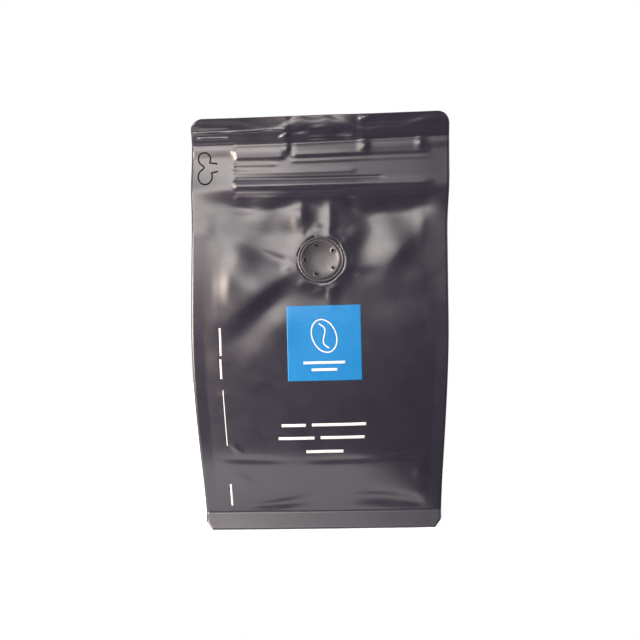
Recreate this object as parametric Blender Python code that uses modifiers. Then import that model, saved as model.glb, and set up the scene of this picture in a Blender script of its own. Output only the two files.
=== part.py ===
# A 250 g coffee bag: a flat-bottom pouch of film with a seal down each corner, a sealed
# header with a press-to-close zip under it, a round degassing valve and a square label.
# Metres, +Z up, origin at the middle of the base, and the front faces -Y.
import math

import bmesh
import bpy
from mathutils import Matrix, Vector

# Outline of the front, seen flat on
HEIGHT = 0.2044
TOP_RISE = 0.010             # slope of the top edge, which climbs to the right
TOP_RISE_ZONE = (0.192, 0.204)
TOP_HALF_WIDTH = 0.0651
FLARE = 0.0012               # how much further each side reaches at the zip and header
FLARE_ZONE = (0.145, 0.175)
BASE_TAPER = 0.0055          # how much narrower each side gets towards the base
TAPER_TOP = 0.105
TAPER_LENGTH = 0.115
CORNER_RADIUS = 0.006        # rounded corners of the header
FOOT_CHAMFER = (0.0035, 0.0037)  # across and up, at the ends of the base seals
LEAN = 0.0018                # the header has slipped sideways on the filled body
LEAN_START = 0.060
LEAN_CURVE = 1.6
SIDE_SHIFT = -0.0013         # brings the box of the whole back over the origin

# Depth of the filled body
BASE_HALF_DEPTH = 0.035
FULL_DEPTH_TOP = 0.033
DEPTH_CURVE = 1.6            # 1 would be a straight wedge
CLOSE_Z = 0.158              # front and back would meet here, just under the zip
NECK_SOFTNESS = 0.0036       # they bend into the neck over about this length instead
SHUT_ZONE = (0.160, 0.178)   # and lie flat on each other from its upper end
HEADER_HALF_DEPTH = 0.0008
CROWN = 0.0034               # how much the middle of the front and back swells
CROWN_FULL = 0.042
CROWN_FLATNESS = 2.5

# The zip leans back, more at its left end, and the header stands up again above it
ZIP_LEAN = 0.36
ZIP_LEAN_START = 0.168
ZIP_LEAN_SOFTNESS = 0.0015
HEADER_FOLD = 0.1906
HEADER_FOLD_RISE = 0.024
HEADER_FOLD_SOFTNESS = 0.0008
HEADER_NOD = 0.05
CURL = 0.17
CURL_START = -0.017
CURL_SOFTNESS = 0.005
CURL_ZONE = (0.145, 0.185)
CURL_LOSS = 0.35             # share of it that the header loses again
CURL_LOSS_ZONE = (0.191, 0.205)

# Film and seals
FILM = 0.0009
CORE_INSET = FILM / 2        # the filled core ends half way through the film
TAUT_SHARE = 0.12            # folds and ribs die out over this share of the width, at the seals
TAUT_HEIGHT = 0.004          # and over this height, over the base seals
EDGE_SEAL = 0.0065
BASE_SEAL_TOP = 0.0074
BASE_SEAL_SPLAY = math.radians(42)
BASE_ROUNDING = 0.004
FILM_FOOT = 0.0007           # the seals stop just above what the base panel stands on

# Side gussets
GUSSET_FOLD = 0.038
GUSSET_FOLD_START = 0.070
GUSSET_FOLD_LENGTH = 0.075
GUSSET_FOLD_END = 0.159
GUSSET_CLOSING = 0.008
GUSSET_SWELL = 0.004
GUSSET_SWELL_TOP = 0.110

# Mesh density
INNER_COLUMNS = 24
GUSSET_STEPS = 8
BODY_ROW = 0.0048
ZIP_ROW = 0.0022
ZIP_ZONE = (0.154, 0.192)

# Valve and label, placed on the front by X and Z
VALVE_PLACE = (0.0002, 0.1337)
VALVE_RADIUS = 0.0120
VALVE_SINK = 0.0016
VALVE_MOUND = 0.0012         # the film stands out this far round the valve
VALVE_MOUND_FADE = 0.005
VALVE_CALM = (0.0105, 0.0135)  # no folds run inside this distance from its middle
VALVE_HOLES = 5
VALVE_HOLE_CIRCLE = 0.0077
VALVE_HOLE_RADIUS = 0.00055
VALVE_HOLE_DEPTH = 0.0006
LABEL_PLACE = (0.0014, 0.0935)
LABEL_SIZE = (0.0374, 0.0361)
LABEL_THICKNESS = 0.0005
LABEL_CELLS = 9
GAP = 0.0003

# Ribs of the zip and the pillow above it: height up the bag, half breadth above and below,
# how far it stands out
ZIP_ENDS = (-0.045, 0.060)
ZIP_END_FADE = 0.003
ZIP_RIBS = (
    (0.1850, 0.0046, 0.0018, 0.0008),
    (0.1770, 0.0018, 0.0018, 0.0003),
    (0.1708, 0.0020, 0.0016, 0.0006),
)

# Under the zip the film tucks in before it swells out over the fill, lower in places:
# X, half breadth, how much higher the two films meet there
NECK_Z = 0.1608
NECK_ABOVE = 0.0060
NECK_BELOW = 0.0045
NECK_TUCK = 0.0010
NECK_ENDS = (-0.048, 0.063)
NECK_END_FADE = 0.010
NECK_TAUT_SHARE = 0.2
NECK_RISE_ZONE = (0.122, 0.156)
NECK_STEPS = (
    (-0.025, 0.009, -0.0034),
    (0.020, 0.008, -0.0040),
    (0.040, 0.012, -0.0040),
)

# Main folds: from X, Z to X, Z, bow to the upper side, half breadth at either end, how far it
# stands out, share of the breadth on the upper side (1 is even), where along it is highest
FRONT_FOLDS = (
    (-0.059, 0.097, -0.010, 0.132, 0.0005, 0.0090, 0.0050, 0.0021, 1.30, 0.55),
    (-0.056, 0.082, -0.010, 0.124, 0.0010, 0.0095, 0.0050, -0.0007, 0.80, 0.50),
    (-0.043, 0.106, -0.039, 0.145, 0.0040, 0.0100, 0.0100, 0.0024, 0.65, 0.45),
    (-0.054, 0.144, -0.010, 0.141, 0.0085, 0.0065, 0.0050, 0.0008, 1.00, 0.30),
    (-0.027, 0.143, -0.031, 0.168, 0.0000, 0.0070, 0.0070, 0.0011, 1.00, 0.60),
    (0.025, 0.118, 0.060, 0.151, 0.0040, 0.0090, 0.0100, 0.0024, 1.45, 0.45),
    (0.010, 0.129, 0.036, 0.132, 0.0000, 0.0040, 0.0050, 0.0011, 1.20, 0.30),
    (-0.056, 0.036, 0.057, 0.037, 0.0000, 0.0030, 0.0030, -0.0007, 1.00, 0.50),
)
BACK_FOLDS = (
    (-0.038, 0.142, 0.005, 0.130, 0.0020, 0.0050, 0.0050, -0.0014, 1.00, 0.50),
    (0.012, 0.146, 0.050, 0.133, 0.0030, 0.0060, 0.0040, 0.0015, 1.00, 0.40),
    (-0.052, 0.120, -0.026, 0.094, -0.0030, 0.0070, 0.0060, 0.0013, 1.00, 0.50),
    (-0.056, 0.036, 0.056, 0.0365, 0.0000, 0.0030, 0.0030, -0.0008, 1.00, 0.50),
)

FILM_COLOUR = (0.045, 0.041, 0.052, 1.0)
VALVE_COLOUR = (0.060, 0.055, 0.060, 1.0)
LABEL_COLOUR = (0.030, 0.330, 0.760, 1.0)


def clear_scene():
    for old in list(bpy.data.objects):
        bpy.data.objects.remove(old, do_unlink=True)


def new_collection(name):
    collection = bpy.data.collections.new(name)
    bpy.context.scene.collection.children.link(collection)
    return collection


def plain_material(name, colour, roughness):
    material = bpy.data.materials.new(name)
    material.use_nodes = True
    shader = material.node_tree.nodes["Principled BSDF"]
    shader.inputs["Base Color"].default_value = colour
    shader.inputs["Roughness"].default_value = roughness
    return material


def add_object(name, bm, collection):
    mesh = bpy.data.meshes.new(name)
    bm.to_mesh(mesh)
    bm.free()
    obj = bpy.data.objects.new(name, mesh)
    collection.objects.link(obj)
    return obj


# The bag's form, as functions of X across the front and Z up it

def clamp(t):
    return min(max(t, 0.0), 1.0)


def ease(t):
    t = clamp(t)
    return t * t * (3 - 2 * t)


def ease_over(t, zone):
    return ease((t - zone[0]) / (zone[1] - zone[0]))


def between(t, ends, fade):
    # 1 between the ends, 0 outside them
    return ease((t - ends[0]) / fade) * ease((ends[1] - t) / fade)


def soft_ramp(t, softness):
    # nought, then t, with a soft bend between them
    return (t + math.hypot(t, softness)) / 2


def half_width(z):
    taper = BASE_TAPER * ease((TAPER_TOP - z) / TAPER_LENGTH)
    return TOP_HALF_WIDTH + FLARE * ease_over(z, FLARE_ZONE) - taper


def centre(z):
    return SIDE_SHIFT + LEAN * clamp((z - LEAN_START) / (HEIGHT - LEAN_START)) ** LEAN_CURVE


def outline_half_width(z):
    # the half width less what the rounded top corners and the base chamfers take off
    above = max(z - (HEIGHT - CORNER_RADIUS), 0.0)
    rounded = CORNER_RADIUS - math.sqrt(max(CORNER_RADIUS ** 2 - above ** 2, 0.0))
    across, up = FOOT_CHAMFER
    return half_width(z) - rounded - across * clamp(1 - z / up)


def seal_line(z):
    return half_width(z) - EDGE_SEAL


def seal_depth(z):
    t = max((z - FULL_DEPTH_TOP) / (CLOSE_Z - FULL_DEPTH_TOP), 0.0)
    full = BASE_HALF_DEPTH - HEADER_HALF_DEPTH
    apart = soft_ramp(full * (1 - t ** DEPTH_CURVE), NECK_SOFTNESS) * (1 - ease_over(z, SHUT_ZONE))
    return HEADER_HALF_DEPTH + apart


def off_centre(x, z):
    # 0 in the middle and 1 at the seal
    return min(abs(x - centre(z)) / seal_line(z), 1.0)


def crown(x, z):
    swell = ease(z / CROWN_FULL) * (1 - ease_over(z, (CROWN_FULL, CLOSE_Z)))
    return CROWN * swell * (1 - off_centre(x, z) ** CROWN_FLATNESS)


def fold_relief(x, z, folds):
    total = 0.0
    for x0, z0, x1, z1, bow, start_half, end_half, height, share, highest in folds:
        run = Vector((x1 - x0, z1 - z0))
        place = Vector((x - x0, z - z0))
        along = place.dot(run) / run.length_squared
        t = clamp(along)
        away = run.cross(place) / run.length - 4 * bow * t * (1 - t)
        breadth = (start_half + (end_half - start_half) * t) * (share if away > 0 else 2 - share)
        swell = ease(along / highest) * ease((1 - along) / (1 - highest))
        total += height * swell * math.exp(-(away / breadth) ** 2)
    return total


def zip_relief(x, z):
    total = 0.0
    for at, above, below, out in ZIP_RIBS:
        half = above if z > at else below
        total += out * math.exp(-((z - at) / half) ** 2)
    return total * between(x, ZIP_ENDS, ZIP_END_FADE)


def neck_rise(x, z):
    rise = sum(up * math.exp(-((x - at) / half) ** 2) for at, half, up in NECK_STEPS)
    return rise * ease_over(z, NECK_RISE_ZONE)


def neck_relief(x, z):
    off = z - NECK_Z - neck_rise(x, z)
    half = NECK_ABOVE if off > 0 else NECK_BELOW
    return -NECK_TUCK * math.exp(-(off / half) ** 2) * between(x, NECK_ENDS, NECK_END_FADE)


def valve_distance(x, z):
    return math.hypot(x - VALVE_PLACE[0], z - VALVE_PLACE[1])


def valve_mound(x, z):
    off = max(valve_distance(x, z) - VALVE_RADIUS, 0.0) / VALVE_MOUND_FADE
    return VALVE_MOUND * math.exp(-off * off)


def panel_depth(x, z, side):
    # how far the film's outer face stands from the middle plane; side is -1 for the front
    off = off_centre(x, z)
    body_z = max(z, BASE_SEAL_TOP)
    if side < 0:
        body_z -= neck_rise(x, z) * ease((1 - off) / NECK_TAUT_SHARE)
        relief = fold_relief(x, z, FRONT_FOLDS) * ease_over(valve_distance(x, z), VALVE_CALM)
        relief += valve_mound(x, z)
    else:
        relief = fold_relief(x, z, BACK_FOLDS)
    depth = seal_depth(body_z) + crown(x, body_z)
    depth += max(BASE_SEAL_TOP - z, 0.0) * math.tan(BASE_SEAL_SPLAY)
    taut = ease((1 - off) / TAUT_SHARE)
    low = ease((z - BASE_SEAL_TOP) / TAUT_HEIGHT)
    return depth + taut * low * (relief + zip_relief(x, z)) + neck_relief(x, z)


def middle_plane(x, z):
    fold = HEADER_FOLD + HEADER_FOLD_RISE * x
    lean = ZIP_LEAN * soft_ramp(z - ZIP_LEAN_START, ZIP_LEAN_SOFTNESS)
    nod = (ZIP_LEAN + HEADER_NOD) * soft_ramp(z - fold, HEADER_FOLD_SOFTNESS)
    curl = CURL * soft_ramp(CURL_START - x, CURL_SOFTNESS)
    curl *= ease_over(z, CURL_ZONE) * (1 - CURL_LOSS * ease_over(z, CURL_LOSS_ZONE))
    return lean - nod + curl


def standing_z(x, z):
    return z + TOP_RISE * x * ease_over(z, TOP_RISE_ZONE)


def even_steps(start, end, step):
    count = max(round((end - start) / step), 1)
    return [start + (end - start) * i / count for i in range(count)]


def body_rows():
    rows = even_steps(BASE_SEAL_TOP, ZIP_ZONE[0], BODY_ROW)
    return rows + even_steps(*ZIP_ZONE, ZIP_ROW) + [ZIP_ZONE[1]]


def film_rows():
    header_shoulder = HEIGHT - CORNER_RADIUS
    rows = even_steps(FILM_FOOT, FOOT_CHAMFER[1], 0.0015)
    rows += even_steps(FOOT_CHAMFER[1], BASE_SEAL_TOP, 0.0019)
    rows += body_rows()[:-1]
    rows += even_steps(ZIP_ZONE[1], header_shoulder, ZIP_ROW)
    rows += [header_shoulder + CORNER_RADIUS * math.sin(math.radians(a)) for a in (0, 30, 60, 90)]
    return rows


def inner_columns(z):
    reach = seal_line(z)
    middle = centre(z)
    return [middle + reach * (2 * i / INNER_COLUMNS - 1) for i in range(INNER_COLUMNS + 1)]


def film_columns(z):
    columns = inner_columns(z)
    reach = outline_half_width(z)
    return [centre(z) - reach] + columns + [centre(z) + reach]


# The bag

def film_panel(name, side, collection):
    # side is -1 for the front film and 1 for the back film
    rows = film_rows()
    columns = [film_columns(z) for z in rows]
    last_row = len(rows) - 1
    last_column = len(columns[0]) - 1
    bm = bmesh.new()
    bmesh.ops.create_grid(bm, x_segments=last_column, y_segments=last_row, size=0.5)
    for vert in bm.verts:
        i = round((vert.co.x + 0.5) * last_column)
        j = round((vert.co.y + 0.5) * last_row)
        x, z = columns[j][i], rows[j]
        y = middle_plane(x, z) + side * panel_depth(x, z, side)
        vert.co = (x, y, standing_z(x, z))
    if side < 0:
        outward = Vector((0, -1, 0))
    else:
        outward = Vector((0, 1, 0))
    bm.normal_update()
    if sum(face.normal.dot(outward) for face in bm.faces) < 0:
        bmesh.ops.reverse_faces(bm, faces=bm.faces)
    panel = add_object(name, bm, collection)
    thickness = panel.modifiers.new("Film", "SOLIDIFY")
    thickness.thickness = FILM
    thickness.offset = -1
    return panel


def gusset_points(z, inset, hand):
    # one side panel of the core, from the front seal to the back seal, as X and Y; hand is 1
    # for the right side and -1 for the left
    opening = ease((z - GUSSET_FOLD_START) / GUSSET_FOLD_LENGTH)
    closing = 1 - ease((z - GUSSET_FOLD_END) / GUSSET_CLOSING)
    fold = GUSSET_FOLD * opening * closing
    swell = GUSSET_SWELL * math.sin(math.pi * clamp(z / GUSSET_SWELL_TOP))
    points = []
    for step in range(1, GUSSET_STEPS):
        v = 2 * step / GUSSET_STEPS - 1
        reach = seal_line(z) - inset - fold * (1 - abs(v)) + swell * (1 - v * v)
        x = centre(z) + hand * reach
        film = panel_depth(x, z, -1 if v < 0 else 1)
        points.append((x, v * (min(seal_depth(z), film) - inset)))
    return points


def core_ring(z, inset):
    # a closed ring round the filled core: front, right gusset, back, left gusset
    low = max(z, BASE_SEAL_TOP)
    middle = centre(low)
    shrink = 1 - inset / seal_line(low)
    columns = [middle + (x - middle) * shrink for x in inner_columns(low)]
    front = [(x, inset - panel_depth(x, low, -1)) for x in columns]
    back = [(x, panel_depth(x, low, 1) - inset) for x in columns]
    right = gusset_points(low, inset, 1)
    left = gusset_points(low, inset, -1)
    ring = front + right + back[::-1] + left[::-1]
    return [(x, y + middle_plane(x, z), z) for x, y in ring]


def core(collection):
    # the filled body and the zip behind the films, rounded under to a flat base panel
    rings = []
    for a in (90, 65, 40, 20):
        z = BASE_SEAL_TOP * (1 - math.sin(math.radians(a)))
        inset = CORE_INSET + BASE_ROUNDING * (1 - math.cos(math.radians(a)))
        rings.append(core_ring(z, inset))
    rings += [core_ring(z, CORE_INSET) for z in body_rows()]
    bm = bmesh.new()
    loops = [[bm.verts.new(point) for point in ring] for ring in rings]
    for low, high in zip(loops, loops[1:]):
        for i in range(len(low)):
            j = (i + 1) % len(low)
            bm.faces.new((low[i], low[j], high[j], high[i]))
    bm.faces.new(loops[0][::-1])
    bm.faces.new(loops[-1])
    bmesh.ops.recalc_face_normals(bm, faces=bm.faces)
    return add_object("core", bm, collection)


def fuse(name, pieces, collection):
    # one closed body of the listed pieces, which are then removed
    first, others = pieces[0], pieces[1:]
    extras = new_collection(name + "_pieces")
    for piece in others:
        extras.objects.link(piece)
    union = first.modifiers.new("Union", "BOOLEAN")
    union.operation = "UNION"
    union.operand_type = "COLLECTION"
    union.collection = extras
    evaluated = first.evaluated_get(bpy.context.evaluated_depsgraph_get())
    mesh = bpy.data.meshes.new_from_object(evaluated)
    mesh.name = name
    fused = bpy.data.objects.new(name, mesh)
    collection.objects.link(fused)
    for piece in pieces:
        bpy.data.objects.remove(piece, do_unlink=True)
    bpy.data.collections.remove(extras)
    return fused


def panel_frame(place):
    # where the valve sits on the front: local Z points out of the panel, local Y up it
    x, z = place
    step = 0.006
    y = -seal_depth(z) - crown(x, z)
    tall = seal_depth(z - step) + crown(x, z - step) - seal_depth(z + step) - crown(x, z + step)
    wide = crown(x - step, z) - crown(x + step, z)
    up = Vector((0, tall, 2 * step)).normalized()
    out = Vector((2 * step, wide, 0)).cross(up).normalized()
    across = up.cross(out)
    turn = Matrix((across, up, out)).transposed().to_4x4()
    return Matrix.Translation((x, y - VALVE_MOUND, z)) @ turn


def valve_seat(cutters):
    bm = bmesh.new()
    depth = VALVE_SINK + GAP + 0.006
    bmesh.ops.create_cone(
        bm, cap_ends=True, segments=48, radius1=VALVE_RADIUS + GAP, radius2=VALVE_RADIUS + GAP,
        depth=depth, matrix=Matrix.Translation((0, 0, depth / 2 - VALVE_SINK - GAP)))
    seat = add_object("valve_seat", bm, cutters)
    seat.matrix_world = panel_frame(VALVE_PLACE)
    seat.display_type = "WIRE"
    seat.hide_render = True
    return seat


def coffee_bag(collection, cutters):
    front = film_panel("front_film", -1, collection)
    back = film_panel("back_film", 1, collection)
    bag = fuse("bag", [core(collection), front, back], collection)
    seat = bag.modifiers.new("Valve seat", "BOOLEAN")
    seat.operation = "DIFFERENCE"
    seat.object = valve_seat(cutters)
    bag.data.materials.clear()
    bag.data.materials.append(plain_material("bag_film", FILM_COLOUR, 0.40))
    bag.data.shade_smooth()
    bag.data.set_sharp_from_angle(angle=math.radians(35))


# The pieces on its front

def valve_profile():
    # half section of the valve, from the middle of its face outwards and down to its back
    return (
        (0.0000, -0.0007), (0.0035, -0.0006), (0.0060, -0.0004), (0.0085, 0.0002),
        (0.0097, 0.0010), (0.0105, 0.0004), (0.0113, 0.0007), (VALVE_RADIUS, -0.0002),
        (VALVE_RADIUS, -VALVE_SINK), (0.0000, -VALVE_SINK))


def valve_vents(cutters):
    # five pin holes on a ring round the middle
    bm = bmesh.new()
    for hole in range(VALVE_HOLES):
        angle = math.pi + math.tau * hole / VALVE_HOLES
        place = Vector((math.cos(angle), math.sin(angle), 0)) * VALVE_HOLE_CIRCLE
        bmesh.ops.create_cone(
            bm, cap_ends=True, segments=10, radius1=VALVE_HOLE_RADIUS,
            radius2=VALVE_HOLE_RADIUS, depth=2 * VALVE_HOLE_DEPTH,
            matrix=Matrix.Translation(place))
    vents = add_object("valve_vents", bm, cutters)
    vents.matrix_world = panel_frame(VALVE_PLACE)
    vents.display_type = "WIRE"
    vents.hide_render = True
    return vents


def valve(collection, cutters):
    bm = bmesh.new()
    points = [bm.verts.new((radius, 0, height)) for radius, height in valve_profile()]
    for a, b in zip(points, points[1:]):
        bm.edges.new((a, b))
    disc = add_object("valve", bm, collection)
    turned = disc.modifiers.new("Turned", "SCREW")
    turned.steps = 40
    turned.render_steps = 40
    turned.use_merge_vertices = True
    turned.merge_threshold = 0.00001
    turned.use_normal_calculate = True
    vents = disc.modifiers.new("Vents", "BOOLEAN")
    vents.operation = "DIFFERENCE"
    vents.object = valve_vents(cutters)
    disc.matrix_world = panel_frame(VALVE_PLACE)
    disc.data.materials.append(plain_material("valve_plastic", VALVE_COLOUR, 0.35))


def label(collection):
    # a stiff square stuck to the front, which follows the panel
    bm = bmesh.new()
    bmesh.ops.create_grid(bm, x_segments=LABEL_CELLS, y_segments=LABEL_CELLS, size=0.5)
    for vert in bm.verts:
        x = LABEL_PLACE[0] + vert.co.x * LABEL_SIZE[0]
        z = LABEL_PLACE[1] + vert.co.y * LABEL_SIZE[1]
        vert.co = (x, -panel_depth(x, z, -1) - GAP - LABEL_THICKNESS, z)
    bm.normal_update()
    square = add_object("label", bm, collection)
    thickness = square.modifiers.new("Paper", "SOLIDIFY")
    thickness.thickness = LABEL_THICKNESS
    thickness.offset = -1
    square.data.materials.append(plain_material("label_paper", LABEL_COLOUR, 0.45))


def main():
    clear_scene()
    parts = new_collection("coffee_bag")
    cutters = new_collection("cutters")
    coffee_bag(parts, cutters)
    valve(parts, cutters)
    label(parts)


main()
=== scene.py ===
import math

import bmesh
import bpy
import numpy as np
from mathutils import Matrix, Vector


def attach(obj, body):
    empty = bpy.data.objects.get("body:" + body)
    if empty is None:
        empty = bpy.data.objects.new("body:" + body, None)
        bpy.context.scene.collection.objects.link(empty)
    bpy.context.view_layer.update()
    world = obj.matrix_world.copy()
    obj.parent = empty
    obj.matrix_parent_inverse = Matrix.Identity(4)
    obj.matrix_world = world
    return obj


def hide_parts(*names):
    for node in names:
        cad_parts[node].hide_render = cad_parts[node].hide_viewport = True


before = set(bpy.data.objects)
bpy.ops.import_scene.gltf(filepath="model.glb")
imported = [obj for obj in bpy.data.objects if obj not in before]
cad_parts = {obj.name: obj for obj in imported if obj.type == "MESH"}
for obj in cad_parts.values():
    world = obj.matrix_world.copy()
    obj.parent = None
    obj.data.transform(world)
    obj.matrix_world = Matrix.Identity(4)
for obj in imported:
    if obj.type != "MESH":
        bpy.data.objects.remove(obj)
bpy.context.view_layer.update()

# Sizes are in millimetres, X across the front, Z up it, and the front faces -Y.
# Meshes are scaled to metres as they are made.
mm = 0.001

bagShape = {
    "height": 204.4,
    "topRise": 0.010,         # the top edge climbs to the right
    "topHalf": 65.1,
    "flare": 1.2,             # the closure and header are a little wider
    "taper": 5.5,             # lost on each side by the time it reaches the base
    "taperTop": 105.0,
    "taperLength": 115.0,
    "corner": 6.0,
    "footAcross": 3.5,
    "footUp": 3.7,
    "lean": 1.8,              # header has slipped to the right
    "leanStart": 60.0,
    "sideShift": -1.3,
    "baseDepth": 35.0,        # half depth at the corner seals
    "fullDepthTop": 33.0,
    "closeZ": 158.0,          # front and back would meet here if they didn't bend into the neck
    "neck": 3.6,
    "headerDepth": 0.8,
    "edgeDepth": 0.3,         # the sealed top edge
    "bulge": 3.4,
    "bulgeFull": 42.0,        # the front is fullest from here
    "bulgeFlatness": 2.5,
    "seal": 6.5,
    "baseSeal": 7.4,
    "splay": math.tan(math.radians(42)),
    "foot": 0.3,
}

filmSheet = {
    "thickness": 0.28,
    "sealCells": 5,
    "frontCells": 150,
    "backCells": 90,
    "bodyStep": 0.9,
    "zipStep": 0.42,
    "headerStep": 0.35,
}

valveSpot = {
    "x": 0.2,
    "z": 133.7,
    "radius": 12.0,
    "mound": 1.2,
    "moundFade": 5.0,
    "stretch": 1.07,
    "well": 2.2,              # the film lies this much lower under the disc
    "skirt": (12.9, 0.55, 0.45, -35.0),   # raised film round its lower right: radius, half breadth, height, angle
}


def ease(t):
    t = np.clip(t, 0, 1)
    return t * t * (3 - 2 * t)


# The bag's form, the same rule for the film, the label and the print

def halfWidth(z):
    s = bagShape
    flare = s["flare"] * ease((z - 145) / 30)
    return s["topHalf"] + flare - s["taper"] * ease((s["taperTop"] - z) / s["taperLength"])


def centreLine(z):
    s = bagShape
    rise = np.clip((z - s["leanStart"]) / (s["height"] - s["leanStart"]), 0, 1)
    return s["sideShift"] + s["lean"] * rise ** 1.6


def sealLine(z):
    return halfWidth(z) - bagShape["seal"]


def outlineHalf(z):
    s = bagShape
    above = np.maximum(z - (s["height"] - s["corner"]), 0)
    rounded = s["corner"] - np.sqrt(np.maximum(s["corner"] ** 2 - above ** 2, 0))
    return halfWidth(z) - rounded - s["footAcross"] * np.clip(1 - z / s["footUp"], 0, 1)


def softRamp(t, softness):
    # nought, then t, with a soft bend between them
    return (t + np.sqrt(t * t + softness * softness)) / 2


def sealDepth(z):
    s = bagShape
    t = np.maximum((z - s["fullDepthTop"]) / (s["closeZ"] - s["fullDepthTop"]), 0)
    shut = (s["headerDepth"] - s["edgeDepth"]) * ease((z - s["height"] + 3.5) / 3)
    return s["headerDepth"] - shut + softRamp((s["baseDepth"] - s["headerDepth"]) * (1 - t ** 1.6), s["neck"])


def crownDepth(x, z):
    # the front and back swell, most in the middle
    s = bagShape
    swell = ease(z / s["bulgeFull"]) * (1 - ease((z - s["bulgeFull"]) / (s["closeZ"] - s["bulgeFull"])))
    off = np.minimum(np.abs(x - centreLine(z)) / sealLine(z), 1)
    return s["bulge"] * swell * (1 - off ** s["bulgeFlatness"])


# the closure leans back, more at its left end, and the header stands up again above it
headerBend = {"start": 168.0, "fold": 190.6, "foldRise": 0.024, "back": 0.36, "forward": 0.05,
              "curlFrom": -17.0, "curl": 0.17}


def middlePlane(x, z):
    h = headerBend
    fold = h["fold"] + h["foldRise"] * x
    lean = h["back"] * softRamp(z - h["start"], 1.5)
    nod = (h["back"] + h["forward"]) * softRamp(z - fold, 0.8)
    curl = h["curl"] * softRamp(h["curlFrom"] - x, 5.0)
    curl *= ease((z - 145) / 40) * (1 - 0.35 * ease((z - 191) / 14))
    slack = foldRelief(x, z, headerShape["crumple"]) * ease((z - fold) / 2)
    return lean - nod + curl - slack


def standingZ(x, z):
    return z + bagShape["topRise"] * x * ease((z - 192) / 12)


# folds: from x, z to x, z (rightwards or upwards), how far it bows to its upper or left side,
# half breadth at either end, how far it stands out, share of the breadth on the upper or
# left side (1 is even), and where along it is highest

frontFolds = [
    (-59, 97, -10, 132, 0.5, 9.0, 5.0, 2.1, 1.3, 0.55),      # big slack fold left of the valve
    (-56, 82, -10, 124, 1.0, 9.5, 5.0, -0.7, 0.8, 0.5),      # the hollow under it
    (-50, 68, -4, 121, 1.0, 12.0, 6.0, 0.45, 0.9, 0.6),
    (-46, 106, -34, 149, 4.0, 10.0, 10.0, 2.4, 0.65, 0.5),     # its rounded left end
    (-51, 147.5, -11.5, 130.8, -1.2, 3.6, 2.6, -0.6, 0.7, 0.8),
    (-34, 155.5, 2, 155.8, 0.0, 5.0, 5.0, 1.0, 0.7, 0.5),
    (-27, 143, -31, 168, 0.0, 7.0, 7.0, 1.1, 1.0, 0.6),
    (-52, 158.5, -18, 158.8, 0.0, 3.0, 3.0, -0.7, 1.0, 0.5),
    (-8.0, 140, -10.5, 169, 0.0, 5.0, 2.6, 0.6, 1.1, 0.55),  # upright pleats under the closure
    (5.6, 138, 4.6, 168, 0.0, 3.6, 3.0, 0.8, 0.8, 0.5),
    (17, 150, 15, 172, 0.0, 4.0, 3.0, -0.5, 1.0, 0.5),
    (12, 141, 28, 148, 2.0, 3.5, 5.0, 0.6, 0.7, 0.4),
    (24, 120, 56, 154.5, 1.0, 9.0, 9.0, 2.1, 1.2, 0.5),        # big slack fold on the right
    (10, 129, 36, 132, 0.0, 4.0, 5.0, 0.8, 1.2, 0.3),
    (5, 107, 5, 124, 0.0, 3.0, 3.0, 0.9, 0.8, 0.7),
    (-56, 36.3, -10, 35.2, 0.0, 1.5, 1.5, -0.6, 1.0, 0.35),  # crease over the base fold
    (-18, 35.2, 34, 36.1, 0.0, 1.5, 1.5, -0.5, 1.0, 0.5),
    (24, 36.1, 57, 38.3, 0.0, 1.5, 1.5, -0.6, 1.0, 0.65),
    (-48.6, 46, -40, 37.5, 0.0, 1.4, 1.4, 0.5, 1.0, 0.5),
    (-50, 31, -30, 16, 0.0, 3.5, 3.5, 0.6, 1.0, 0.5),
    (44, 24, 54, 36, 0.0, 3.5, 3.5, 0.6, 1.0, 0.5),
    (-2, 13.5, 61, 7.5, 4.0, 3.5, 3.5, -1.4, 0.8, 0.45),      # the film is pushed in over the fin
    (-52, 9.5, 6, 19, -2.5, 3.0, 3.0, -1.15, 0.8, 0.55),
    (-55, 69, -45, 68, 0.0, 1.2, 1.2, 0.15, 1.0, 0.5),
    (-55, 60, -45, 59, 0.0, 1.2, 1.2, 0.15, 1.0, 0.5),
]

backFolds = [
    (-38, 142, 5, 130, 2.0, 5.0, 5.0, -1.4, 1.0, 0.5),
    (12, 146, 50, 133, 3.0, 6.0, 4.0, 1.5, 1.0, 0.4),
    (-24, 140, -20, 162, 0.0, 3.0, 2.4, 1.0, 1.0, 0.6),
    (18, 146, 22, 162, 0.0, 3.0, 2.4, 0.9, 1.0, 0.6),
    (-52, 120, -26, 94, -3.0, 7.0, 6.0, 1.3, 1.0, 0.5),
    (-56, 36, 56, 36.5, 0.0, 1.5, 1.5, -0.8, 1.0, 0.5),
    (-48, 30, -28, 12, 0.0, 3.5, 3.5, 0.6, 1.0, 0.5),
    (30, 12, 50, 30, 0.0, 3.5, 3.5, 0.6, 1.0, 0.5),
]

# folds that run out from the valve: angle, from and to radius, half breadth, height
valveFolds = [
    (92, 13, 20, 2.4, 0.4),
    (62, 13, 20, 2.0, -0.5),
    (38, 13, 22, 2.4, 0.4),
    (-22, 14, 22, 2.6, -0.5),
    (-60, 13, 19, 1.8, 0.4),
    (-88, 13, 18, 1.4, 0.5),
    (-104, 13, 18, 1.3, -0.4),
    (-128, 13, 19, 2.0, 0.5),
    (190, 14, 22, 1.8, 0.4),
    (118, 13, 18, 1.8, -0.4),
]

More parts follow.
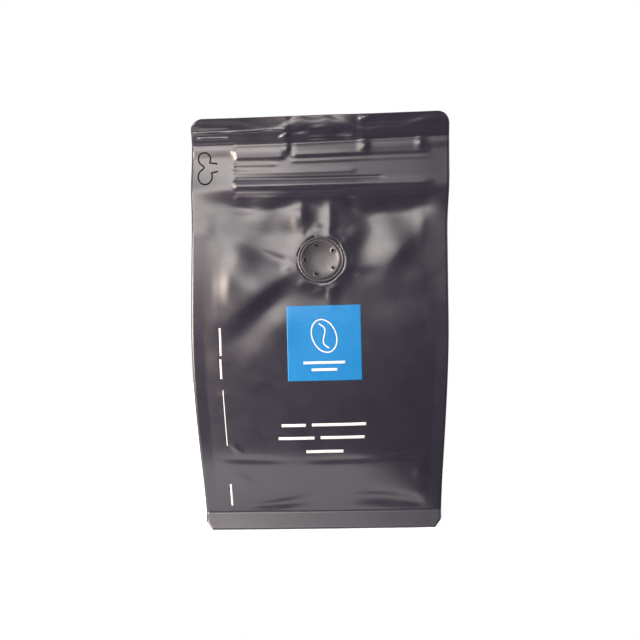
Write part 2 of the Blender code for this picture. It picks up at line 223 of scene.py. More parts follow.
zipShape = {
    "start": -44.0,           # left end, a crimped edge
    "end": 60.0,
    "foldLeft": -17.0,        # where the folded gussets stop behind the front
    "foldRight": 22.6,
    # height, how much it rises to the right per mm, half breadth above and below, how far
    # it stands out, from x, to x
    "ribs": [
        (184.6, 0.012, 5.0, 1.4, 0.80, -46, -16),
        (185.4, 0.012, 4.2, 1.5, 0.90, -15, 25),
        (185.4, 0.012, 4.2, 1.5, 0.80, 21, 58),
        (180.6, 0.010, 1.0, 0.8, 0.26, -46, -20),
        (182.0, 0.012, 1.0, 0.9, 0.24, -16, 62),
        (176.6, 0.006, 1.1, 1.1, 0.22, -46, 20),
        (173.3, 0.000, 0.65, 0.65, -0.34, -46, 34),
        (170.1, 0.002, 1.8, 1.1, 0.70, -46, 62),
        (167.4, 0.000, 1.2, 1.0, -0.25, -46, 14),
        (164.2, -0.004, 0.9, 1.2, 0.20, -46, 62),
    ],
    # soft knobs where the folded gussets end: x, z, half width, half height, height
    "knobs": [
        (-16.3, 188.3, 1.7, 2.8, 0.8),
        (23.4, 189.0, 2.0, 3.2, 0.9),
        (51.8, 189.6, 1.7, 2.8, 0.8),
    ],
    "crimp": [187.0, 180.0, 177.0, 171.3],
    "fainter": 0.45,          # share the ribs lose towards the right
}

headerShape = {
    "edge": 190.6,            # lower edge of the sealed band
    "edgeRise": 0.024,
    "valley": 0.45,
    "gussetStep": 0.35,
    "lines": [                # pressed lines: height, rise, from x, to x, height
        (200.3, 0.012, -62, -45, 0.60),
        (198.0, 0.020, -66, -16, 0.65),
        (194.4, 0.012, -64, -45, 0.60),
        (198.6, 0.022, 24, 63, 0.30),
    ],
    "crumple": [              # between the folded gussets the band is slack
        (-60, 206.5, 27, 208.5, 0.0, 6.0, 6.0, -3.0, 1.0, 0.75),
        (-17, 196.2, -2, 197.2, 0.0, 1.2, 1.2, -0.5, 1.0, 0.5),
        (-6, 198.0, 7, 198.6, 0.0, 0.8, 0.8, 0.35, 1.0, 0.5),
        (4, 194.6, 19, 196.2, 0.0, 1.5, 1.5, -0.5, 1.0, 0.5),
        (-9, 193.4, 9, 193.0, 0.0, 1.1, 1.1, 0.4, 1.0, 0.5),
        (11, 192.6, 22, 193.6, 0.0, 0.9, 0.9, 0.35, 1.0, 0.5),
        (20, 201.4, 29, 203.0, 0.0, 1.0, 1.0, 0.6, 1.0, 0.3),
        (-21, 192.6, -14, 196.4, 0.0, 1.0, 1.0, 0.7, 1.0, 0.5),
    ],
}

slackNoise = {"seed": 7, "waves": 14, "shortest": 17.0, "longest": 48.0, "height": 0.16}


def foldRelief(x, z, folds):
    total = np.zeros_like(x)
    for x0, z0, x1, z1, bow, startHalf, endHalf, height, share, highest in folds:
        length = math.hypot(x1 - x0, z1 - z0)
        runX, runZ = (x1 - x0) / length, (z1 - z0) / length
        along = ((x - x0) * runX + (z - z0) * runZ) / length
        t = np.clip(along, 0, 1)
        away = (z - z0) * runX - (x - x0) * runZ - 4 * bow * t * (1 - t)
        half = (startHalf + (endHalf - startHalf) * t) * np.where(away > 0, share, 2 - share)
        swell = ease(along / highest) * ease((1 - along) / (1 - highest))
        total += height * swell * np.exp(-(away / half) ** 2)
    return total


def fromValve(x, z):
    # the panel leans back there, so heights count for more
    v = valveSpot
    dx, dz = x - v["x"], (z - v["z"]) * v["stretch"]
    return dx, dz, np.hypot(dx, dz)


def valveRelief(x, z):
    v = valveSpot
    dx, dz, r = fromValve(x, z)
    total = v["mound"] * np.exp(-(np.maximum(r - v["radius"] - 0.4, 0) / v["moundFade"]) ** 2)
    radius, half, height, angle = v["skirt"]
    turn = np.arctan2(dz, dx) - math.radians(angle)
    wave = radius + 0.35 * np.sin(5 * turn) + 0.15 * np.sin(11 * turn)
    total += height * ease(np.cos(turn) + 0.5) * np.exp(-((r - wave) / half) ** 2)
    total -= v["well"] * (1 - ease((r - v["radius"] + 1.3) / 1.0))
    for angle, near, far, breadth, height in valveFolds:
        a = math.radians(angle)
        out = dx * math.cos(a) + dz * math.sin(a)
        side = -dx * math.sin(a) + dz * math.cos(a)
        grown = breadth * (0.6 + 0.4 * np.clip(out / near, 0.2, 2))
        span = ease((out - near) / 3) * ease((far - out) / (far - near) / 0.7)
        total += height * span * np.exp(-(side / grown) ** 2)
    return total


# under the closure the film tucks in, unevenly, before it swells out over the fill
neckShape = {
    "z": 160.8,
    "above": 6.0,
    "below": 6.0,
    "tuck": 1.0,
    "from": -66,
    "fadeIn": 22.0,
    "to": 63,
    "fadeOut": 10.0,
    # x, half breadth and how much higher the film meets the closure there
    "steps": [(-26, 11.0, -4.4), (-10, 4.5, 1.6), (4.5, 3.2, 1.2), (23, 9.0, -4.6), (40, 12.0, -3.8)],
}


def neckRise(x, z):
    rise = sum(up * np.exp(-((x - at) / half) ** 2) for at, half, up in neckShape["steps"])
    return rise * ease((z - 122) / 34)


def neckRelief(x, z):
    n = neckShape
    d = z - n["z"] - neckRise(x, z)
    tuck = np.exp(-(d / np.where(d > 0, n["above"], n["below"])) ** 2)
    return -n["tuck"] * tuck * ease((x - n["from"]) / n["fadeIn"]) * ease((n["to"] - x) / n["fadeOut"])


def bandEase(x, start, end, fade):
    return ease((x - start) / fade) * ease((end - x) / fade)


def zipRelief(x, z):
    q = zipShape
    ribs = np.zeros_like(x)
    for at, rise, above, below, out, start, end in q["ribs"]:
        d = z - at - rise * x
        ribs += out * bandEase(x, start, end, 4.0) * np.exp(-(d / np.where(d > 0, above, below)) ** 2)
    inside = ease((x - q["start"]) / 1.2) * ease((q["end"] + 1.5 - x) / 5.0)
    inside *= 1 - q["fainter"] * ease((x - 8) / 26)
    knobs = np.zeros_like(x)
    for at, up, halfWide, halfTall, out in q["knobs"]:
        knobs += out * np.exp(-((x - at) / halfWide) ** 2 - ((z - up) / halfTall) ** 2)
    # the crimped left end is a little upright ridge with a dot on each rib
    edge = np.exp(-((x - q["start"]) / 0.9) ** 2) * bandEase(z, 168, 189, 2.0)
    dots = sum(np.exp(-((z - at) / 0.9) ** 2) for at in q["crimp"])
    return inside * ribs + knobs + edge * (0.15 + 0.36 * dots)


def headerRelief(x, z):
    h = headerShape
    edge = h["edge"] + h["edgeRise"] * x
    above = ease((z - edge + 0.4) / 0.8)
    valley = -h["valley"] * np.exp(-((z - edge - 0.6) / 1.1) ** 2)
    press = np.zeros_like(x)
    for at, rise, start, end, height in h["lines"]:
        span = bandEase(x, start, end, 2.5)
        press += height * span * np.exp(-((z - at - rise * x) / 0.42) ** 2)
    # four layers outside the gusset folds, two layers between them
    layers = 1 - bandEase(x, zipShape["foldLeft"], zipShape["foldRight"], 3.5)
    step = h["gussetStep"] * layers * ease((z - edge + 6) / 4)
    return above * press + valley + step


def slackRelief(x, z, seed):
    n = slackNoise
    draw = np.random.default_rng(n["seed"] + seed)
    total = np.zeros_like(x)
    for _ in range(n["waves"]):
        angle, phase = draw.uniform(0, np.pi), draw.uniform(0, 2 * np.pi)
        length = draw.uniform(n["shortest"], n["longest"])
        total += np.sin(2 * np.pi * (x * np.cos(angle) + z * np.sin(angle)) / length + phase)
    return n["height"] * total / math.sqrt(n["waves"] / 2)


def filmDepth(x, z, side):
    # how far the film's outer face stands from the middle plane; side -1 is the front
    s = bagShape
    off = np.abs(x - centreLine(z)) / sealLine(z)
    bodyZ = np.maximum(z, s["baseSeal"])
    if side < 0:
        bodyZ = bodyZ - neckRise(x, z) * ease((1 - off) / 0.2)
    depth = sealDepth(bodyZ) + crownDepth(x, bodyZ) + np.maximum(s["baseSeal"] - z, 0) * s["splay"]
    taut = ease((1 - off) / 0.12)
    low = ease((z - s["baseSeal"]) / 4)
    body = ease((s["closeZ"] + 2 - z) / 8)
    relief = zipRelief(x, z)
    folds = foldRelief(x, z, frontFolds if side < 0 else backFolds) * ease((166 - z) / 4)
    slack = folds + slackRelief(x, z, side + 1) * body * (0.35 + 0.65 * ease((z - 60) / 60))
    if side < 0:
        slack = slack * ease((fromValve(x, z)[2] - 10.5) / 2.0) + valveRelief(x, z)
    relief = relief + slack
    header = headerRelief(x, z) * ease((z - 164) / 3)
    return depth + taut * low * relief + header + neckRelief(x, z)


def filmY(x, z, side):
    return middlePlane(x, z) + side * filmDepth(x, z, side)


# Mesh helpers

def gridObject(name, xs, ys, zs):
    # one sheet through the rows and columns of the three arrays
    rows, columns = xs.shape
    bm = bmesh.new()
    bmesh.ops.create_grid(bm, x_segments=columns - 1, y_segments=rows - 1, size=0.5)
    mesh = bpy.data.meshes.new(name)
    bm.to_mesh(mesh)
    bm.free()
    flat = np.empty(len(mesh.vertices) * 3)
    mesh.vertices.foreach_get("co", flat)
    flat = flat.reshape(-1, 3)
    i = np.rint((flat[:, 0] + 0.5) * (columns - 1)).astype(int)
    j = np.rint((flat[:, 1] + 0.5) * (rows - 1)).astype(int)
    points = np.stack([xs[j, i], ys[j, i], zs[j, i]], axis=1) * mm
    mesh.vertices.foreach_set("co", points.ravel())
    mesh.update()
    obj = bpy.data.objects.new(name, mesh)
    bpy.context.scene.collection.objects.link(obj)
    return obj


def faceOutward(obj, outward):
    # turns the sheet over if most of it looks away from the given direction
    mesh = obj.data
    normals = np.empty(len(mesh.polygons) * 3)
    mesh.polygons.foreach_get("normal", normals)
    if (normals.reshape(-1, 3) @ np.array(outward)).sum() < 0:
        mesh.flip_normals()


def thicken(obj, thickness):
    film = obj.modifiers.new("Film", "SOLIDIFY")
    film.thickness = thickness * mm
    film.offset = -1


def smoothShade(obj, angle=50):
    obj.data.shade_smooth()
    obj.data.set_sharp_from_angle(angle=math.radians(angle))


def dress(obj, material, slot, *nodes):
    obj.data.materials.clear()
    obj.data.materials.append(material)
    if nodes:
        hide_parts(*nodes)
    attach(obj, "root")
    return obj


# Materials

def newMaterial(name, colour, roughness):
    material = bpy.data.materials.new(name)
    material.use_nodes = True
    shader = material.node_tree.nodes["Principled BSDF"]
    shader.inputs["Base Color"].default_value = (*colour, 1)
    shader.inputs["Roughness"].default_value = roughness
    return material, shader


def addNode(material, kind, **inputs):
    node = material.node_tree.nodes.new(kind)
    for key, value in inputs.items():
        node.inputs[key.replace("_", " ")].default_value = value
    return node


def noiseRamp(material, shader, socket, scale, low, high, detail=4.0):
    # drives one number of the shader between two values by a noise in object space
    tree = material.node_tree
    place = addNode(material, "ShaderNodeTexCoord")
    noise = addNode(material, "ShaderNodeTexNoise", Scale=scale, Detail=detail)
    spread = tree.nodes.new("ShaderNodeMapRange")
    spread.inputs["From Min"].default_value = 0.3
    spread.inputs["From Max"].default_value = 0.7
    spread.inputs["To Min"].default_value = low
    spread.inputs["To Max"].default_value = high
    tree.links.new(place.outputs["Object"], noise.inputs["Vector"])
    tree.links.new(noise.outputs["Fac"], spread.inputs["Value"])
    tree.links.new(spread.outputs["Result"], shader.inputs[socket])


def noiseColour(material, shader, scale, colourA, colourB, detail=3.0):
    tree = material.node_tree
    place = addNode(material, "ShaderNodeTexCoord")
    noise = addNode(material, "ShaderNodeTexNoise", Scale=scale, Detail=detail)
    ramp = tree.nodes.new("ShaderNodeValToRGB")
    ramp.color_ramp.elements[0].position = 0.35
    ramp.color_ramp.elements[0].color = (*colourA, 1)
    ramp.color_ramp.elements[1].position = 0.65
    ramp.color_ramp.elements[1].color = (*colourB, 1)
    tree.links.new(place.outputs["Object"], noise.inputs["Vector"])
    tree.links.new(noise.outputs["Fac"], ramp.inputs["Fac"])
    tree.links.new(ramp.outputs["Color"], shader.inputs["Base Color"])


def grainBump(material, shader, scale, strength, distance):
    tree = material.node_tree
    place = addNode(material, "ShaderNodeTexCoord")
    noise = addNode(material, "ShaderNodeTexNoise", Scale=scale, Detail=3.0)
    bump = addNode(material, "ShaderNodeBump", Strength=strength, Distance=distance)
    tree.links.new(place.outputs["Object"], noise.inputs["Vector"])
    tree.links.new(noise.outputs["Fac"], bump.inputs["Height"])
    tree.links.new(bump.outputs["Normal"], shader.inputs["Normal"])


filmLook = {
    "dark": (0.0120, 0.0092, 0.0220),
    "light": (0.0160, 0.0125, 0.0275),
    "roughness": (0.29, 0.35),
    "specular": 1.0,
}


def filmMaterial():
    material, shader = newMaterial("satinFilm", filmLook["dark"], 0.4)
    shader.inputs["Specular IOR Level"].default_value = filmLook["specular"]
    noiseColour(material, shader, 60.0, filmLook["dark"], filmLook["light"])
    noiseRamp(material, shader, "Roughness", 140.0, *filmLook["roughness"])
    grainBump(material, shader, 1500.0, 0.12, 0.00008)
    return material


def valveMaterial():
    material, shader = newMaterial("valvePlastic", (0.040, 0.035, 0.046), 0.40)
    shader.inputs["Specular IOR Level"].default_value = 1.0
    noiseRamp(material, shader, "Roughness", 900.0, 0.30, 0.42)
    grainBump(material, shader, 1400.0, 0.25, 0.00010)
    return material


def labelMaterial():
    material, shader = newMaterial("labelPaper", (0.004, 0.205, 0.530), 0.42)
    shader.inputs["Specular IOR Level"].default_value = 0.5
    noiseColour(material, shader, 500.0, (0.004, 0.195, 0.510), (0.005, 0.215, 0.550))
    noiseRamp(material, shader, "Roughness", 700.0, 0.38, 0.48)
    grainBump(material, shader, 2600.0, 0.10, 0.00005)
    return material


def inkMaterial():
    material, shader = newMaterial("whiteInk", (0.80, 0.79, 0.80), 0.5)
    noiseColour(material, shader, 900.0, (0.74, 0.73, 0.74), (0.84, 0.83, 0.84))
    noiseRamp(material, shader, "Roughness", 900.0, 0.45, 0.58)
    return material


# near-black, dull finish: painted shade that stands in for the shadow inside the tear tab's die-cut slit
def cutShadeMaterial():
    material, shader = newMaterial("paintedCutShade", (0.006, 0.005, 0.006), 0.6)
    shader.inputs["Specular IOR Level"].default_value = 0.1
    noiseRamp(material, shader, "Roughness", 900.0, 0.5, 0.7)
    return material


# The film sheets

def evenRows(start, end, step):
    count = max(round((end - start) / step), 1)
    return np.linspace(start, end, count, endpoint=False)


def sheetRows(top):
    s, f = bagShape, filmSheet
    shoulder = s["height"] - s["corner"]
    rows = [
        evenRows(s["foot"], s["baseSeal"], 0.8),
        evenRows(s["baseSeal"], 158, f["bodyStep"]),
        evenRows(158, 192, f["zipStep"]),
        evenRows(192, shoulder, f["headerStep"]),
        shoulder + s["corner"] * np.sin(np.radians(np.linspace(0, 90, 12))),
    ]
    rows = np.concatenate(rows)
    return rows[rows <= top + 1e-6]


def sheetColumns(z, cells):
    # rows by columns of X: edge seal, filled panel, edge seal
    reach, edge, middle = sealLine(z)[:, None], outlineHalf(z)[:, None], centreLine(z)[:, None]
    seal = np.linspace(0, 1, filmSheet["sealCells"] + 1)[None, :]
    outer = edge + (reach - edge) * seal
    inner = reach * np.linspace(-1, 1, cells + 1)[None, 1:-1]
    return middle + np.concatenate([-outer, inner, outer[:, ::-1]], axis=1)


def filmPanel(name, side, cells, material):
    z = sheetRows(bagShape["height"])
    xs = sheetColumns(z, cells)
    zs = np.repeat(z[:, None], xs.shape[1], axis=1)
    panel = gridObject(name, xs, filmY(xs, zs, side), standingZ(xs, zs))
    faceOutward(panel, (0, side, 0))
    thicken(panel, filmSheet["thickness"])
    smoothShade(panel)
    return dress(panel, material, "film", "bag")


gussetShape = {
    "fold": 38.0,
    "foldStart": 70.0,
    "foldLength": 75.0,
    "swell": 4.0,
    "swellTop": 110.0,
    "cells": 44,
    "behind": 0.34,
}


def gussetPanel(name, side, material):
    # side -1 is the left gusset; it runs from the front seal's tip round to the back one's
    s, g = bagShape, gussetShape
    z = sheetRows(s["height"])
    z = z[z >= s["baseSeal"] - 0.01][:, None]
    v = np.linspace(-1, 1, g["cells"] + 1)[None, :]
    step = headerShape["gussetStep"] * ease((z - headerShape["edge"] + 6) / 4)
    fold = g["fold"] * ease((z - g["foldStart"]) / g["foldLength"])
    swell = g["swell"] * np.sin(np.pi * np.clip(z / g["swellTop"], 0, 1))
    crease = -0.9 * np.exp(-((np.abs(v) - (95 - z) / 60) / 0.07) ** 2) * bandEase(z, 34, 96, 12)
    reach = sealLine(z) - fold * (1 - np.abs(v)) + (swell + crease) * (1 - v * v)
    tips = outlineHalf(z) - 0.15
    flange = np.linspace(0, 1, 5)[None, :-1]
    front = tips + (sealLine(z) - tips) * flange
    xs = np.concatenate([front, reach, front[:, ::-1]], axis=1)
    xs = centreLine(z) + side * xs
    zs = np.repeat(z, xs.shape[1], axis=1)
    flat = np.ones_like(flange)
    share = np.concatenate([-flat, v, flat], axis=1)
    film = np.where(share < 0, filmDepth(xs, zs, -1), filmDepth(xs, zs, 1))
    ys = share * (np.minimum(sealDepth(zs) + step, film) - g["behind"])
    panel = gridObject(name, xs, ys + middlePlane(xs, zs), standingZ(xs, zs))
    faceOutward(panel, (side, 0, 0))
    thicken(panel, filmSheet["thickness"])
    smoothShade(panel)
    return dress(panel, material, "film", "bag")


basePanelShape = {"rounding": 4.0, "inset": 0.7, "top": 10.0, "cells": 40}


def basePanel(material):
    # the bottom: a shallow tray that closes the bag and rounds under to what it stands on
    s, b = bagShape, basePanelShape
    low = np.array([s["baseSeal"]])
    half, depth, middle = sealLine(low)[0], sealDepth(low)[0], centreLine(low)[0]
    swell = gussetShape["swell"] * math.sin(math.pi * s["baseSeal"] / gussetShape["swellTop"])
    bm = bmesh.new()
    loops = []
    heights = [(0.0, b["rounding"])]
    heights += [(s["baseSeal"] * (1 - math.sin(a)), b["rounding"] * (1 - math.cos(a)))
                for a in np.radians(np.arange(80, -1, -10))]
    heights.append((b["top"], 0.0))
    for z, inset in heights:
        w, d = half - inset - b["inset"], depth - inset - b["inset"]
        ring = []
        for t in np.linspace(-1, 1, b["cells"] + 1)[:-1]:
            ring.append((w * t, -d))
        for t in np.linspace(-1, 1, b["cells"] // 2 + 1)[:-1]:
            ring.append((w + swell * (1 - t * t), d * t))
        for t in np.linspace(1, -1, b["cells"] + 1)[:-1]:
            ring.append((w * t, d))
        for t in np.linspace(1, -1, b["cells"] // 2 + 1)[:-1]:
            ring.append((-w - swell * (1 - t * t), d * t))
        loops.append([bm.verts.new(((middle + x) * mm, y * mm, z * mm)) for x, y in ring])
    for lower, upper in zip(loops, loops[1:]):
        for i in range(len(lower)):
            j = (i + 1) % len(lower)
            bm.faces.new((lower[i], lower[j], upper[j], upper[i]))
    bm.faces.new(loops[0][::-1])
    bm.faces.new(loops[-1])
    bmesh.ops.recalc_face_normals(bm, faces=bm.faces)
    mesh = bpy.data.meshes.new("basePanel")
    bm.to_mesh(mesh)
    bm.free()
    tray = bpy.data.objects.new("basePanel", mesh)
    bpy.context.scene.collection.objects.link(tray)
    smoothShade(tray)
    return dress(tray, material, "film", "bag")


# The valve

valveShape = {
    "steps": 128,
    "holes": 5,
    "holeCircle": 7.7,
    "holeRadius": 0.48,
    "sink": 1.6,
}


def valveHeight(r, angle):
    # face of the valve over the film, from the middle outwards
    v = valveShape
    dish = -1.2 * (1 - np.minimum(r / 9.3, 1) ** 3)
    lip = 0.55 * np.exp(-((r - 9.75) / 0.38) ** 2)
    groove = -0.22 * np.exp(-((r - 10.45) / 0.35) ** 2)
    rim = 0.30 * np.exp(-((r - 11.2) / 0.5) ** 2)
    ripple = 0.05 * np.sin(angle * 34) * bandEase(r, 9.9, 12.0, 0.5)
    height = 0.45 + dish + lip + groove + rim + ripple - 0.9 * ease((r - 11.6) / 0.5)
    for hole in range(v["holes"]):
        a = math.pi + math.tau * hole / v["holes"]
        d = np.hypot(r * np.cos(angle) - v["holeCircle"] * math.cos(a),
                     r * np.sin(angle) - v["holeCircle"] * math.sin(a))
        height = height + 0.25 * np.exp(-((d - 0.95) / 0.28) ** 2)
        height = height - 1.2 * (1 - ease((d - v["holeRadius"]) / 0.22))
    return height


def panelFrame(x, z):
    # local Z points out of the front, local Y up it
    step = 0.5
    at = np.array([[x, x, x, x + 12, x - 12], [z, z + step, z - step, z, z]])
    y = -(sealDepth(at[1]) + crownDepth(at[0], at[1]))
    up = Vector((0, y[1] - y[2], 2 * step)).normalized()
    out = Vector((24, y[3] - y[4], 0)).cross(up).normalized()
    across = up.cross(out)
    turn = Matrix((across, up, out)).transposed().to_4x4()
    origin = Vector((x, y[0] - valveSpot["mound"], z)) * mm
    return Matrix.Translation(origin) @ turn


def valvePiece(material):
    v = valveShape
    reach = valveSpot["radius"]
    radii = np.concatenate([[0.02], np.linspace(0.5, 9.0, 44), np.linspace(9.12, reach, 30)])
    angle = np.linspace(0, 2 * np.pi, v["steps"], endpoint=False)
    r, a = np.meshgrid(radii, angle, indexing="ij")
    h = valveHeight(r, a)
    rings = [list(zip(r[k] * np.cos(a[k]), r[k] * np.sin(a[k]), h[k])) for k in range(len(radii))]
    rings.append([(p * reach, q * reach, -v["sink"]) for p, q in zip(np.cos(angle), np.sin(angle))])
    bm = bmesh.new()
    loops = [[bm.verts.new([c * mm for c in point]) for point in ring] for ring in rings]
    for inner, outer in zip(loops, loops[1:]):
        for i in range(v["steps"]):
            j = (i + 1) % v["steps"]
            bm.faces.new((inner[i], outer[i], outer[j], inner[j]))
    bm.faces.new(loops[0])
    bm.faces.new(loops[-1][::-1])
    bmesh.ops.recalc_face_normals(bm, faces=bm.faces)
    mesh = bpy.data.meshes.new("valveDisc")
    bm.to_mesh(mesh)
    bm.free()
    mesh.transform(panelFrame(valveSpot["x"], valveSpot["z"]))
    disc = bpy.data.objects.new("valveDisc", mesh)
    bpy.context.scene.collection.objects.link(disc)
    smoothShade(disc, 60)
    return dress(disc, material, "valve", "valve")


# Label and print, which follow the film's own form

labelShape = {"x": 1.4, "z": 93.5, "width": 37.4, "height": 36.1, "turn": 0.3,
              "thickness": 0.16, "cells": 72, "corner": 0.5}


def onFront(x, z, proud):
    return filmY(x, z, -1) - proud


def frontPatch(name, centre, width, height, turn, proud, thickness, material, slot, cell=0.6, nodes=()):
    # a rectangle laid on the film, its outer face proud of it
    across = max(int(math.ceil(width / cell)), 2)
    tall = max(int(math.ceil(height / cell)), 2)
    u = np.linspace(-width / 2, width / 2, across + 1)[None, :].repeat(tall + 1, axis=0)
    w = np.linspace(-height / 2, height / 2, tall + 1)[:, None].repeat(across + 1, axis=1)
    c, s = math.cos(math.radians(turn)), math.sin(math.radians(turn))
    xs, zs = centre[0] + u * c - w * s, centre[1] + u * s + w * c
    patch = gridObject(name, xs, onFront(xs, zs, proud), standingZ(xs, zs))
    faceOutward(patch, (0, -1, 0))
    thicken(patch, thickness)
    smoothShade(patch)
    return dress(patch, material, slot, *nodes)


def frontRibbon(name, points, width, proud, thickness, material, slot):
    # a narrow band along a path of x, z points on the film
    points = np.array(points, dtype=float)
    tangent = np.gradient(points, axis=0)
    tangent /= np.linalg.norm(tangent, axis=1)[:, None]
    side = np.stack([-tangent[:, 1], tangent[:, 0]], axis=1) * width / 2
    xs = np.stack([points[:, 0] - side[:, 0], points[:, 0], points[:, 0] + side[:, 0]], axis=1)
    zs = np.stack([points[:, 1] - side[:, 1], points[:, 1], points[:, 1] + side[:, 1]], axis=1)
    band = gridObject(name, xs, onFront(xs, zs, proud), standingZ(xs, zs))
    faceOutward(band, (0, -1, 0))
    thicken(band, thickness)
    smoothShade(band)
    return dress(band, material, slot)


def labelPiece(material):
    q = labelShape
    return frontPatch("labelSquare", (q["x"], q["z"]), q["width"], q["height"], q["turn"],
                      0.18, q["thickness"], material, "label", cell=0.5, nodes=("label",))


labelPrint = {
    "bars": [(1.3, 84.2, 21.0, 1.3), (1.3, 80.8, 13.0, 1.3)],
    "bean": (1.4, 97.0, 6.0, 8.2, 24.0),   # x, z, half width, half height, tilt
    "line": 0.62,
}


def beanPaths():
    x, z, wide, tall, tilt = labelPrint["bean"]
    c, s = math.cos(math.radians(tilt)), math.sin(math.radians(tilt))
    t = np.linspace(0, 2 * np.pi, 97)
    rim = np.stack([wide * np.cos(t), tall * np.sin(t)], axis=1)
    w = np.linspace(-1, 1, 41)
    split = np.stack([wide * 0.28 * np.sin(np.pi * w), tall * 0.78 * w], axis=1)
    turned = []
    for path in (rim, split):
        turned.append(np.stack([x + path[:, 0] * c - path[:, 1] * s,
                                z + path[:, 0] * s + path[:, 1] * c], axis=1))
    return turned


def labelMarks(ink):
    for n, (x, z, width, height) in enumerate(labelPrint["bars"], 1):
        frontPatch(f"labelBar{n}", (x, z), width, height, labelShape["turn"], 0.21, 0.08, ink, None)
    rim, split = beanPaths()
    frontRibbon("labelBeanRim", rim, labelPrint["line"], 0.21, 0.08, ink, None)
    frontRibbon("labelBeanSplit", split, labelPrint["line"], 0.21, 0.08, ink, None)


# bars that stand for the lines of print: x from, x to, z, height
frontPrint = {
    "bars": [(-20.9, -8.6, 53.6, 1.5), (-5.6, 21.7, 53.8, 1.5),
             (-22.6, -4.4, 47.1, 1.5), (-1.4, 20.8, 47.3, 1.5),
             (-8.8, 10.0, 40.2, 1.5)],
    "uprights": [(-51.3, 101.5, 88.0, 1.1), (-51.2, 86.3, 76.6, 1.1), (-48.0, 22.6, 10.8, 1.0)],
    "rule": ((-50.4, 71.1), (-48.9, 43.1), 0.45),
    "dot": (-48.6, 36.5, 1.5),
}


def frontMarks(ink):
    p = frontPrint
    for n, (x0, x1, z, height) in enumerate(p["bars"], 1):
        frontPatch(f"printBar{n}", ((x0 + x1) / 2, z), x1 - x0, height, 0.3, 0.09, 0.06, ink, None)
    for n, (x, z0, z1, width) in enumerate(p["uprights"], 1):
        frontPatch(f"printUpright{n}", (x, (z0 + z1) / 2), width, z0 - z1, 1.6, 0.09, 0.06, ink, None)
    (x0, z0), (x1, z1), width = p["rule"]
    t = np.linspace(0, 1, 60)
    rule = np.stack([x0 + (x1 - x0) * t, z0 + (z1 - z0) * t], axis=1)
    frontRibbon("printRule", rule, width, 0.09, 0.06, ink, None)


# die-cut outline of the tear tab: two round lobes with a waist, open to the right; the slit is drawn as a
# near-black strip on the film, painted shade of the cut
tabShape = {
    "upper": (-59.5, 183.2, 3.2),   # x, z, radius of each lobe
    "lower": (-59.0, 174.6, 3.7),
    "tail": 6.8,
    "waist": 1.5,
    "line": 0.75,
}


def tabPath():
    q = tabShape
    lobes = []
    for (x, z, radius), start, end in ((q["upper"], -35, 236), (q["lower"], 124, 390)):
        turn = np.radians(np.linspace(start, end, 44))
        lobes.append(np.stack([x + radius * np.cos(turn), z + radius * np.sin(turn)], axis=1))
    upper, lower = lobes
    s = np.linspace(0, 1, 8)[1:, None]
    tail = upper[0] + s * (q["tail"] - 2.6, -0.5)
    foot = lower[-1] + s * (q["tail"] - 3.2, 0.7)
    w = np.linspace(0, 1, 12)[1:-1, None]
    waist = upper[-1] + (lower[0] - upper[-1]) * w + np.sin(np.pi * w) * (q["waist"], 0)
    return np.concatenate([tail[::-1], upper, waist, lower, foot])


def tearTab(material):
    # a near-black strip laid just proud of the film, painted shade in place of a cut groove
    return frontRibbon("tearTabCut", tabPath(), tabShape["line"], 0.04, 0.05, material, "film")


# Floor, lights and camera

cameraSetup = {
    "target": (-1.3, 0.0, 102.5),   # the camera circles this point
    "aim": (-1.77, 0.0, 99.24),     # and looks at this one
    "distance": 700.0,
    "yaw": 2.89,
    "elevation": 13.0,
    "roll": 1.84,
    "focalPixels": 1345.0,
    "imagePixels": 640.0,
}


def placeCamera():
    c = cameraSetup
    yaw, rise, roll = (math.radians(c[k]) for k in ("yaw", "elevation", "roll"))
    back = Vector((math.sin(yaw) * math.cos(rise), -math.cos(yaw) * math.cos(rise), math.sin(rise)))
    spot = Vector(c["target"]) + back * c["distance"]
    back = (spot - Vector(c["aim"])).normalized()
    right = Vector((0, 0, 1)).cross(back).normalized()
    up = back.cross(right)
    tiltRight = right * math.cos(roll) - up * math.sin(roll)
    tiltUp = right * math.sin(roll) + up * math.cos(roll)
    data = bpy.data.cameras.new("camera")
    data.sensor_width = 36
    data.lens = c["focalPixels"] / c["imagePixels"] * data.sensor_width
    camera = bpy.data.objects.new("camera", data)
    turn = Matrix((tiltRight, tiltUp, back)).transposed().to_4x4()
    camera.matrix_world = Matrix.Translation(spot * mm) @ turn
    bpy.context.scene.collection.objects.link(camera)
    bpy.context.scene.camera = camera


# azimuth from the front towards the right, elevation, distance and size in metres, power, colour
softboxes = {
    "keyBox": (-33, 44, 1.0, 0.84, 0.42, 6.8, (1.0, 0.935, 0.885)),
    "leftBox": (-54, 15, 0.9, 0.42, 0.34, 10.5, (1.0, 0.85, 0.73)),
    "sideBox": (75, 25, 1.3, 0.5, 0.8, 1.2, (0.90, 0.94, 1.0)),
    "backBox": (165, 50, 1.4, 0.8, 0.8, 12.0, (1.0, 1.0, 1.0)),
}


def placeLights():
    heart = Vector((0, 0, 0.11))
    for name, (around, rise, distance, wide, tall, power, colour) in softboxes.items():
        a, e = math.radians(around), math.radians(rise)
        out = Vector((math.sin(a) * math.cos(e), -math.cos(a) * math.cos(e), math.sin(e)))
        data = bpy.data.lights.new(name, "AREA")
        data.shape = "RECTANGLE"
        data.size, data.size_y = wide, tall
        data.energy = power
        data.color = colour
        lamp = bpy.data.objects.new(name, data)
        lamp.location = heart + out * distance
        lamp.rotation_euler = out.to_track_quat("Z", "Y").to_euler()
        bpy.context.scene.collection.objects.link(lamp)


# the room is bright behind and beside the bag and dim on the camera's side of it
roomLight = {"dim": 0.19, "bright": 1.1, "dimUntil": -0.55, "brightFrom": 0.25, "backdrop": 1.0}


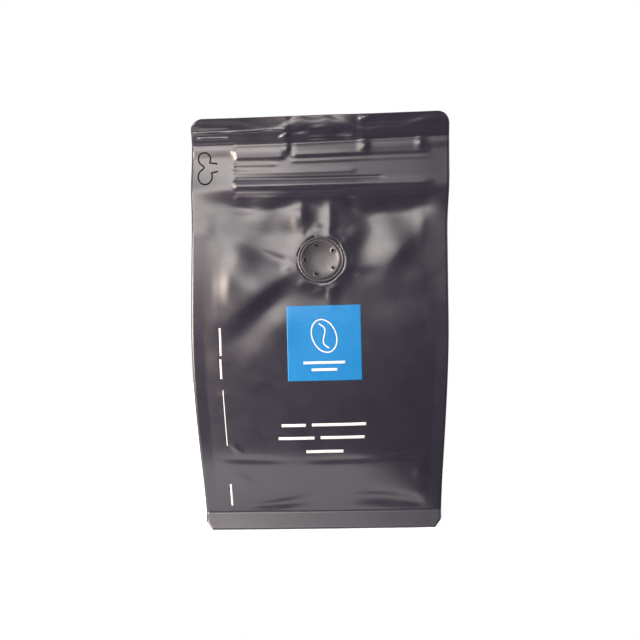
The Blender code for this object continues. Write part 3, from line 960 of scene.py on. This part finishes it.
def placeWorld():
    world = bpy.data.worlds.new("studio")
    world.use_nodes = True
    tree = world.node_tree
    room = tree.nodes["Background"]
    room.inputs["Color"].default_value = (1, 1, 1, 1)
    backdrop = tree.nodes.new("ShaderNodeBackground")
    backdrop.inputs["Color"].default_value = (1, 1, 1, 1)
    backdrop.inputs["Strength"].default_value = roomLight["backdrop"]
    place = tree.nodes.new("ShaderNodeTexCoord")
    split = tree.nodes.new("ShaderNodeSeparateXYZ")
    spread = tree.nodes.new("ShaderNodeMapRange")
    spread.interpolation_type = "SMOOTHSTEP"
    spread.inputs["From Min"].default_value = roomLight["dimUntil"]
    spread.inputs["From Max"].default_value = roomLight["brightFrom"]
    spread.inputs["To Min"].default_value = roomLight["dim"]
    spread.inputs["To Max"].default_value = roomLight["bright"]
    rays = tree.nodes.new("ShaderNodeLightPath")
    mix = tree.nodes.new("ShaderNodeMixShader")
    tree.links.new(place.outputs["Generated"], split.inputs["Vector"])
    tree.links.new(split.outputs["Y"], spread.inputs["Value"])
    tree.links.new(spread.outputs["Result"], room.inputs["Strength"])
    tree.links.new(rays.outputs["Is Camera Ray"], mix.inputs["Fac"])
    tree.links.new(room.outputs["Background"], mix.inputs[1])
    tree.links.new(backdrop.outputs["Background"], mix.inputs[2])
    tree.links.new(mix.outputs["Shader"], tree.nodes["World Output"].inputs["Surface"])
    bpy.context.scene.world = world
    bpy.context.scene.view_settings.view_transform = "Standard"


floorLook = {"radius": 0.22, "centre": (-0.155, 0.02, 0.0), "pale": 0.80, "glow": 0.42}


def placeFloor():
    # a small pale round table
    f = floorLook
    bpy.ops.mesh.primitive_circle_add(vertices=96, radius=f["radius"], fill_type="NGON",
                                      location=f["centre"])
    floor = bpy.context.object
    floor.name = "floor"
    material, shader = newMaterial("paleFloor", (f["pale"],) * 3, 0.9)
    shader.inputs["Specular IOR Level"].default_value = 0.0
    shader.inputs["Emission Color"].default_value = (1, 1, 1, 1)
    shader.inputs["Emission Strength"].default_value = f["glow"]
    floor.data.materials.append(material)


placeCamera()
placeWorld()
placeLights()
placeFloor()
print("camera, lights and floor are in place")

film = filmMaterial()
filmPanel("frontFilm", -1, filmSheet["frontCells"], film)
filmPanel("backFilm", 1, filmSheet["backCells"], film)
gussetPanel("leftGusset", -1, film)
gussetPanel("rightGusset", 1, film)
basePanel(film)
print("film sheets are made")

valvePiece(valveMaterial())
print("valve is in its seat")

ink = inkMaterial()
labelPiece(labelMaterial())
labelMarks(ink)
frontMarks(ink)
tearTab(cutShadeMaterial())
print("label, print and tear tab are on")
